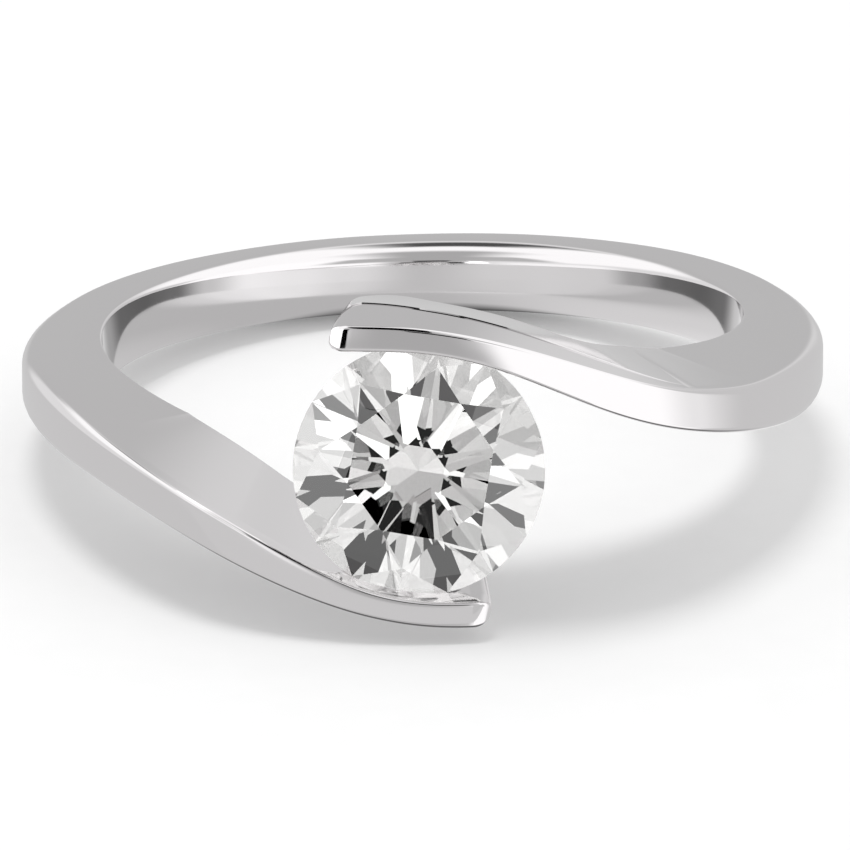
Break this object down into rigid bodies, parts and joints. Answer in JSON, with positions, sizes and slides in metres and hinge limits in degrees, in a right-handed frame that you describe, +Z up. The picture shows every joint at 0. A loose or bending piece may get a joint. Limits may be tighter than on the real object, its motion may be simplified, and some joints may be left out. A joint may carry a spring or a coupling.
{
  "type": "solitaire ring",
  "caption": "Finger ring of polished white metal whose two bypassing arms grip a round brilliant-cut stone by its girdle.",
  "frame": {"origin": "on the table, under the middle of the ring's overall box, as the ring lies on its side", "axes": "+Z up; -Y from the finger hole towards the stone; +X to the right when looking at the stone"},
  "size_m": [0.0204, 0.0232, 0.0078],
  "materials": {
    "white_gold": "polished white gold",
    "diamond": "clear cut and polished"
  },
  "bodies": {
    "root": {"shank": "white_gold", "stone": "diamond"}
  },
  "joints": []
}
